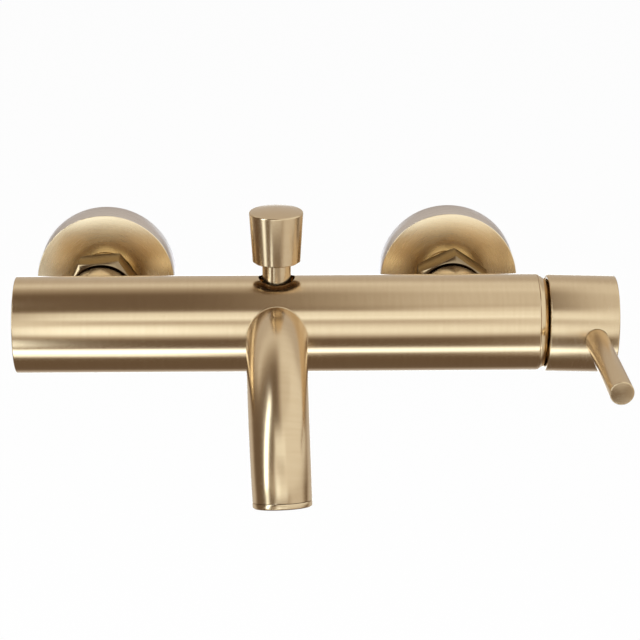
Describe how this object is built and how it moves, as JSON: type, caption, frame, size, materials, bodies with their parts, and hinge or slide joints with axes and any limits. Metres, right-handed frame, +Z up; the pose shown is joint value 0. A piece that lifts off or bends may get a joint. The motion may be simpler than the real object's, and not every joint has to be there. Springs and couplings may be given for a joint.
{
  "type": "bath mixer",
  "caption": "Wall-mounted round bath mixer with a bent spout, a pull-up shower diverter and a cap handle with a pin lever on its right end.",
  "frame": {"origin": "on the wall, midway between the two inlets and level with the axis of the body tube", "axes": "+X to the right along the body tube, towards the handle; +Y into the wall; +Z up"},
  "size_m": [0.2468, 0.1772, 0.1014],
  "materials": {
    "brushed_gold": "brushed, satin gold coating",
    "plain_brass": "machined",
    "black_rubber": "matt",
    "fibre_washer": "matt fibre",
    "ceramic": "lapped ceramic",
    "moulded_plastic": "moulded",
    "stainless": "plain stainless"
  },
  "bodies": {
    "mixer_body": {"aerator_housing": "brushed_gold", "aerator_insert": "moulded_plastic", "aerator_washer": "black_rubber", "body": "brushed_gold", "bonnet_oring": "black_rubber", "cartridge_base": "moulded_plastic", "cartridge_housing": "moulded_plastic", "cartridge_seals": "black_rubber", "check_cage_left": "moulded_plastic", "check_cage_right": "moulded_plastic", "check_spring_left": "stainless", "check_spring_right": "stainless", "clamping_nut": "plain_brass", "diverter_bonnet": "plain_brass", "diverter_spring": "stainless", "dome_ring": "brushed_gold", "end_plug": "brushed_gold", "end_plug_oring": "black_rubber", "escutcheon_left": "brushed_gold", "escutcheon_right": "brushed_gold", "fixed_disc": "ceramic", "hose_outlet": "plain_brass", "inlet_strainer_left": "stainless", "inlet_strainer_right": "stainless", "inlet_tail_left": "plain_brass", "inlet_tail_right": "plain_brass", "outlet_oring": "black_rubber", "spout": "brushed_gold", "spout_lock_screw": "stainless", "spout_oring": "black_rubber", "stem_oring": "black_rubber", "union_nut_left": "brushed_gold", "union_nut_right": "brushed_gold", "union_washer_left": "fibre_washer", "union_washer_right": "fibre_washer", "wall_union_left": "plain_brass", "wall_union_right": "plain_brass"},
    "rotor": {"cartridge_rotor": "moulded_plastic", "pivot_pin": "stainless"},
    "disc_slide": {"disc_carrier": "moulded_plastic", "moving_disc": "ceramic"},
    "handle": {"spindle": "stainless", "handle_cap": "brushed_gold", "handle_lever": "brushed_gold", "handle_grub_screw": "stainless"},
    "diverter": {"diverter_knob": "brushed_gold", "diverter_stem": "brushed_gold", "spring_clip": "stainless", "diverter_valve": "plain_brass", "diverter_seals": "black_rubber"},
    "check_left": {"check_poppet_left": "moulded_plastic"},
    "check_right": {"check_poppet_right": "moulded_plastic"}
  },
  "joints": [
    {"name": "handle_turn", "type": "hinge", "parent": "mixer_body", "child": "rotor", "pos_m": [0.097, -0.072, 0], "axis": [1, 0, 0], "range_deg": [-50, 50]},
    {"name": "handle_lift", "type": "hinge", "parent": "rotor", "child": "handle", "pos_m": [0.097, -0.072, 0], "axis": [0, 0, 1], "range_deg": [0, 20]},
    {"name": "disc_slide", "type": "slide", "parent": "rotor", "child": "disc_slide", "axis": [0, -1, 0], "range_m": [0, 0.0019]},
    {"name": "diverter_lift", "type": "slide", "parent": "mixer_body", "child": "diverter", "axis": [0, 0, 1], "range_m": [0, 0.0058], "stiffness_N_per_m": 500, "springref_m": -0.006, "deforming": ["diverter_spring"]},
    {"name": "check_left_slide", "type": "slide", "parent": "mixer_body", "child": "check_left", "axis": [0, -1, 0], "range_m": [0, 0.0025], "stiffness_N_per_m": 100, "springref_m": -0.005, "deforming": ["check_spring_left"]},
    {"name": "check_right_slide", "type": "slide", "parent": "mixer_body", "child": "check_right", "axis": [0, -1, 0], "range_m": [0, 0.0025], "stiffness_N_per_m": 100, "springref_m": -0.005, "deforming": ["check_spring_right"]}
  ],
  "couplings": [
    {"joint": "disc_slide", "follows": "handle_lift", "m_per_rad": 0.005389}
  ]
}
